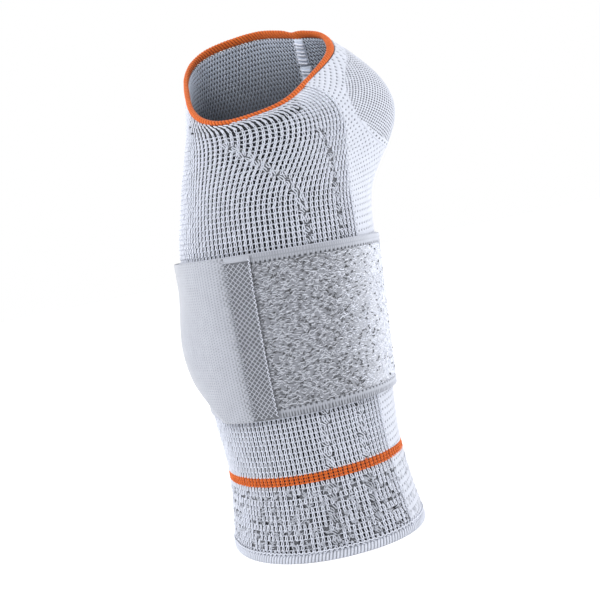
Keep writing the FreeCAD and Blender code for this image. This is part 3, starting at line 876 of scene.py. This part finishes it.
def build_band():
    """Loop band: woven ground, selvages with sewn lines, and a pile of flattened loops, with painted shade
    darkening the ground and selvages away from the lit outer side.
    """
    low, high = STRAP_LOW + SELVAGE, STRAP_HIGH - SELVAGE

    def shade(along):
        # Painted shade: how dark the ground and selvages are painted away from the lit outer side.
        return (1 - painted_side_light(along - BAND_START / 360 * STRAP_GIRTH)) / 3

    def painted_ground_shade(up, turn, along, edge):
        return 0 * up, 3 * shade(along)

    # Upper selvage: sewn rows pressed in and darker, painted shade in its rib grooves, and painted shade away
    # from the lit side.
    def upper(up, turn, along, edge):
        rib = 0.5 - 0.5 * beat(along, 1.15)
        row = ridge(up - high - 0.55, 0.42) * unit(1.4 * beat(along, 2.1) + 0.3)
        second = ridge(up - high - 2.6, 0.3) * unit(beat(along, 1.15) - 0.2)
        return 0.12 * rib + 0.4 * row, unit(0.9 * row + 0.5 * second + 0.25 * rib + shade(along))

    # Lower selvage: a comb of dark ticks and a sewn row, painted shade in its fine rib grooves, and painted
    # shade away from the lit side.
    def lower(up, turn, along, edge):
        comb = unit(1.3 * beat(along, 1.3)) * step_up(STRAP_LOW + 3.0 - up, 0, 1.4)
        row = ridge(up - low + 0.5, 0.4) * unit(1.4 * beat(along, 2.3))
        fine = 0.5 - 0.5 * beat(along, 0.95)
        dark = unit(0.5 * comb + 0.8 * row + 0.2 * fine + shade(along))
        return 0.3 * comb + 0.3 * row + 0.06 * fine, dark

    ground = slab("band_ground", ("forearm", ["strap_loop_band"], "strap_loop"), low, high, BAND_START,
                  BAND_SWEEP, BAND_IN, BAND_OUT - 0.2, PILE_BASE, 0.8, painted_ground_shade)
    for word, bottom, top, pattern in (("lower", STRAP_LOW, low, lower), ("upper", high, STRAP_HIGH, upper)):
        slab("selvage_" + word, ("forearm", ["strap_%s_selvage" % word], "strap_edge"), bottom, top,
             BAND_START, BAND_SWEEP, BAND_IN, BAND_OUT + 0.1, SELVAGE_CLOTH, 0.3, pattern)

    draw = np.random.default_rng(21)
    length_all = STRAP_GIRTH * (BAND_SWEEP / 360)
    part = np.linspace(-1, 1, 7)
    bands = 5
    for k in range(bands):
        bottom = low + (high - low) * k / bands
        top = low + (high - low) * (k + 1) / bands
        rows, columns = round((top - bottom) / PILE_ROW), round(length_all / PILE_GAP)
        row, column = (some.ravel() for some in grid(np.arange(rows), np.arange(columns)))
        count = row.size
        middle_up = bottom + (row + 0.5) * (top - bottom) / rows + draw.normal(0, 0.22, count)
        middle_along = (column + 0.5 + 0.5 * (row % 2)) * PILE_GAP + draw.normal(0, 0.8, count)
        length = draw.uniform(0.7, 1.5, count)[:, None]
        sway = draw.normal(0, 0.34, (count, 1)) * np.sin(math.pi * (part + draw.uniform(-1, 1, (count, 1))))
        up = middle_up[:, None] + sway + draw.normal(0, 0.12, (count, 1)) * part
        out = BAND_OUT - 0.15 + draw.uniform(-0.15, 0.3, (count, 1)) - 0.5 * np.abs(part) ** 3
        size = draw.uniform(0.16, 0.23, (count, 1))
        # Every third strand is dark, painted shade between the loops.
        thirds = (row + 2 * column + (draw.random(count) < 0.2)) % 3
        # Strands on the lit outer side take the paler yarn as painted light, and none are dark there.
        light = draw.random(count) < painted_side_light(middle_along)
        dark = (thirds == 0) & ~light
        along = middle_along[:, None] + np.where(dark[:, None], 0.75, 1.0) * length * part
        share = share_at(STRAP_MIDDLE, BAND_START) + np.clip(along, 1.0, length_all - 1.0) / STRAP_GIRTH
        up = np.clip(up, low + 0.2, high - 0.2)
        for word, some, cloth in (("pile", ~dark & ~light, LOOPS), ("shade", dark, LOOP_SHADE),
                                  ("painted_side_light", light, LOOPS_PAINTED_LIGHT)):
            threads("band_%s_%d" % (word, k), ("forearm", (), "strap_loop"), up[some], share[some], out[some],
                    size[some], cloth)


def zigzag(up, turn, swing):
    """Share of the girth along a zigzag line up the strap: two stitches out, two back."""
    side = np.where(np.arange(up.shape[1]) % 4 < 2, 1, -1)
    return skin.shares(up.T, np.full(up.T.shape, turn)).T + swing * side / STRAP_GIRTH


def build_anchor():
    """Zigzag rows that sew the band to the wrap."""
    up = np.arange(STRAP_LOW + 2, STRAP_HIGH - 2, 0.55)[None]
    around = np.concatenate([zigzag(up, turn, 0.55) for turn in (168.8, 170.5, 172.2)])
    threads("anchor_stitches", ("forearm", ["strap_anchor_stitching"], "seam_thread"), np.repeat(up, 3, 0),
            around, BAND_OUT + 0.3, 0.24, THREAD, 5)


def flap_left(up):
    """The flap's end is cut round at its lower corner."""
    return FLAP_START + 52 * np.clip(1 - (up - STRAP_LOW) / 38, 0, 1) ** 1.4


def hook_patch(word, start, sweep, top):
    """Hook tape under a part of the strap, with its tiny hooks."""
    body = "strap_" + word
    slab(word + "_hook_tape", (body, [word + "_hook_patch"], "hook_tape"), TAPE_LOW, TAPE_HIGH, start, sweep,
         HOOK_IN + 0.1, top, HOOK, 0.9)
    along, up = np.meshgrid(np.arange(1, sweep / 360 * STRAP_GIRTH - 0.6, 1.25),
                            np.arange(TAPE_LOW + 1, TAPE_HIGH - 0.6, 1.25))
    part = np.linspace(0, 1, 5)
    up = up.ravel()[:, None] + 0.35 * np.sin(part * math.pi * 0.9)
    share = share_at(STRAP_MIDDLE, start) + (along.ravel()[:, None] + 0 * part) / STRAP_GIRTH
    out = HOOK_IN + 0.1 - 0.30 * np.sin(part * math.pi * 0.75)
    threads(word + "_hooks", (body, (), "hook_tape"), up, share, out, 0.12, HOOK)


def end_drop(up, turn):
    """How far the flap's sewn end comes down to the wrap."""
    return (FLAP_IN - BASE_OUT - 0.1) * (1 - step_up(turn - flap_left(up), 0.0, 9.0))


def build_flap():
    """Flap of the strap: cover, pressure pad, backing and hook tape."""
    def top(up, turn):
        return FLAP_IN + COVER_THICK + dome(up, turn) - end_drop(up, turn)

    def cover_marks(up, turn, along, edge):
        column = unit(beat(along, 1.7) * 1.3 - 0.2)
        stitch = unit(np.cos(up * TAU / 1.25 + 2.0 * np.sin(along * 1.9)) * 1.3 - 0.1)
        near = step_up(turn, FLAP_START + 30, FLAP_START + 76)
        fade = value_noise(along * 0.45, up * 0.45, 31)
        specks = column * stitch * unit(0.25 + near * (0.6 + 1.3 * fade))
        diamonds = unit(beat(up + along, 2.5) + beat(up - along, 2.5) - 0.2)
        diamonds = diamonds * step_up(turn, TIP_START - 8, TIP_START - 1)
        specks = np.maximum(specks, 0.8 * diamonds * (0.5 + 0.8 * fade))
        groove = ridge(edge - 5.0, 0.7) * (1 - step_up(turn, -95, -75))
        creases = 0.12 * (value_noise(along * 0.2, up * 0.12, 32) - 0.5)
        # The groove along the border is also painted a little darker, as shade.
        return 0.14 * specks + 0.30 * groove + creases, unit(0.85 * specks + 0.12 * groove)

    def pad_start(up):
        return flap_left(up) + 7

    cover = slab("flap_cover", ("strap_flap", ["strap_flap_cover"], "strap_cover"), STRAP_LOW, STRAP_HIGH,
                 FLAP_START, FLAP_SWEEP, lambda up, turn: top(up, turn) - COVER_THICK + 0.05, top, COVER,
                 0.42, cover_marks, 1.2, flap_left)
    core = slab("pressure_pad", ("strap_flap", ["pressure_pad_core"], "foam"), STRAP_LOW + 6, STRAP_HIGH - 6,
                -118, 48, FLAP_IN - 0.02,
                lambda up, turn: np.maximum(FLAP_IN + 0.05, FLAP_IN + dome(up, turn) - 0.1), FOAM, 1.2,
                start_at=pad_start)
    slab("flap_backing_cloth", ("strap_flap", ["flap_backing"], "strap_cover"), TAPE_LOW, TAPE_HIGH, -118, 53,
         HOOK_IN, FLAP_IN - 0.06, EDGE, 0.9, start_at=pad_start)
    hook_patch("flap", -60, 16.5, FLAP_IN - 0.04)


def lattice(low, high, start, sweep, out, gap, width):
    """Two crossing sets of slanted threads over a strip, as rows of up, around and out."""
    rows = []
    for slope in (1, -1):
        for k in range(int((high - low) / gap) + int(width / gap) + 2):
            base = low - width / 2 + k * gap + 0.22 * math.sin(12.9 * k + slope)

            def height(part):
                return base + slope * (part - 0.5) * width + (0.35 * gap if slope < 0 else 0)

            part = np.linspace(0, 1, 13)
            part = part[(height(part) > low + 0.3) & (height(part) < high - 0.3)]
            if len(part) < 4:
                continue
            part = np.linspace(part[0], part[-1], 13)
            lift = np.cos(part * width / gap * TAU / 2 + k * math.pi + (0 if slope > 0 else math.pi))
            rows.append((height(part), start + part * sweep, out + 0.10 * lift))
    up, turn, out = (np.array([row[k] for row in rows]) for k in range(3))
    around = [share_at(u, t) for u, t in zip(up.ravel(), turn.ravel())]
    return up, np.array(around).reshape(up.shape), out


def build_tip():
    """Tip of the strap: a strip of diamond mesh with hook tape under it and a zigzag along its edge."""
    rides = ("strap_tip", (), "strap_mesh")
    slab("tip_ground", ("strap_tip", ["strap_tip_mesh"], "strap_mesh"), STRAP_LOW + 0.4, STRAP_HIGH - 0.4,
         TIP_START, TIP_SWEEP, FLAP_IN - 0.05, FLAP_IN + 0.40, MESH_GROUND, 0.5)
    mesh = lattice(STRAP_LOW, STRAP_HIGH - 2.4, TIP_START + 0.3, TIP_SWEEP - 0.6, FLAP_IN + 0.48, 2.5,
                   TIP_SWEEP / 360 * STRAP_GIRTH)
    threads("tip_mesh_threads", rides, *mesh, 0.18, MESH_THREAD)
    slab("tip_hem", rides, STRAP_HIGH - 2.6, STRAP_HIGH, TIP_START, TIP_SWEEP, FLAP_IN + 0.2, FLAP_IN + 0.6,
         EDGE, 0.5)
    up = np.arange(TAPE_LOW, TAPE_HIGH, 0.5)[None]
    for name, turn, swing, size, cloth in (("tip_zigzag", TIP_START + TIP_SWEEP - 0.7, 0.3, 0.16, THREAD),
                                           ("tip_seam", TIP_START + 0.5, 0.6, 0.19, MESH_THREAD)):
        threads(name, rides, up, zigzag(up, turn, swing), FLAP_IN + 0.56, size, cloth)
    bridge = slab("tip_bridge", None, TAPE_LOW, TAPE_HIGH, TIP_START - 3.2, 6.2, FLAP_IN - 0.04,
                  FLAP_IN + 0.04, EDGE, 0.4)
    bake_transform(bridge)
    hook_patch("tip", TIP_START + 0.6, 12, FLAP_IN - 0.08)


# ---------------------------------------------------------------- floor, light and camera
VIEW_AZIMUTH, VIEW_ELEVATION, VIEW_ROLL = 75.24, 2.93, -11.06
VIEW_DISTANCE = 0.5563
VIEW_TARGET, LIGHT_TARGET = (0.0, 0.0, 0.130), (0.0, 0.0, 0.12)
FOCAL_LENGTH = 67.34
SHIFT_X, SHIFT_Y = 0.0339, -0.0431


def direction(azimuth, elevation):
    a, e = math.radians(azimuth), math.radians(elevation)
    return np.array([math.sin(a) * math.cos(e), -math.cos(a) * math.cos(e), math.sin(e)])


def build_camera():
    camera = add_object("camera", bpy.data.cameras.new("camera"))
    back = direction(VIEW_AZIMUTH, VIEW_ELEVATION)
    right = direction(VIEW_AZIMUTH + 90, 0)
    up = np.cross(back, right)
    roll = math.radians(VIEW_ROLL)
    tilted_right = right * math.cos(roll) + up * math.sin(roll)
    tilted_up = np.cross(back, tilted_right)
    place = np.array(VIEW_TARGET) + back * VIEW_DISTANCE
    columns = np.column_stack([tilted_right, tilted_up, back, place])
    camera.matrix_world = Matrix([[*row] for row in np.vstack([columns, [0, 0, 0, 1]])])
    camera.data.lens = FOCAL_LENGTH
    camera.data.sensor_width = 36
    camera.data.shift_x, camera.data.shift_y = SHIFT_X, SHIFT_Y
    camera.data.clip_start = 0.01
    bpy.context.scene.camera = camera


def area_light(name, azimuth, elevation, distance, size, power):
    light = bpy.data.lights.new(name, "AREA")
    light.shape = "RECTANGLE"
    light.size, light.size_y = size
    light.energy = power
    piece = add_object(name, light)
    away = Vector(direction(azimuth, elevation))
    piece.location = Vector(LIGHT_TARGET) + away * distance
    piece.rotation_euler = away.to_track_quat("Z", "Y").to_euler()


def build_studio():
    scene = bpy.context.scene
    world = bpy.data.worlds.new("studio")
    world.use_nodes = True
    background = world.node_tree.nodes["Background"].inputs
    background["Color"].default_value, background["Strength"].default_value = (1, 1, 1, 1), 1.0
    scene.world = world
    scene.view_settings.view_transform = "Standard"
    area_light("left_light", VIEW_AZIMUTH - 96, 8, 0.7, (0.4, 0.8), 3.4)
    area_light("key_light", VIEW_AZIMUTH - 32, 38, 0.8, (0.35, 0.35), 2.4)
    area_light("right_light", VIEW_AZIMUTH + 92, 8, 0.7, (0.4, 0.8), 5.2)
    side = 3.0
    floor_mesh = bpy.data.meshes.new("floor")
    corners = [(-side, -side, 0), (side, -side, 0), (side, side, 0), (-side, side, 0)]
    floor_mesh.from_pydata(corners, [], [(0, 1, 2, 3)])
    floor = add_object("floor", floor_mesh)
    paper = bpy.data.materials.new("paper")
    paper.use_nodes = True
    inputs = paper.node_tree.nodes["Principled BSDF"].inputs
    for word, value in (("Base Color", (0.8, 0.8, 0.8, 1)), ("Roughness", 1.0),
                        ("Emission Color", (1, 1, 1, 1)), ("Emission Strength", 0.3)):
        inputs[word].default_value = value
    floor.data.materials.append(paper)


for build in (build_camera, build_studio, build_sleeve, build_rear, build_cap, build_tucks, build_edges,
              build_seam, build_pads, build_wrap, build_band, build_anchor, build_flap, build_tip):
    build()
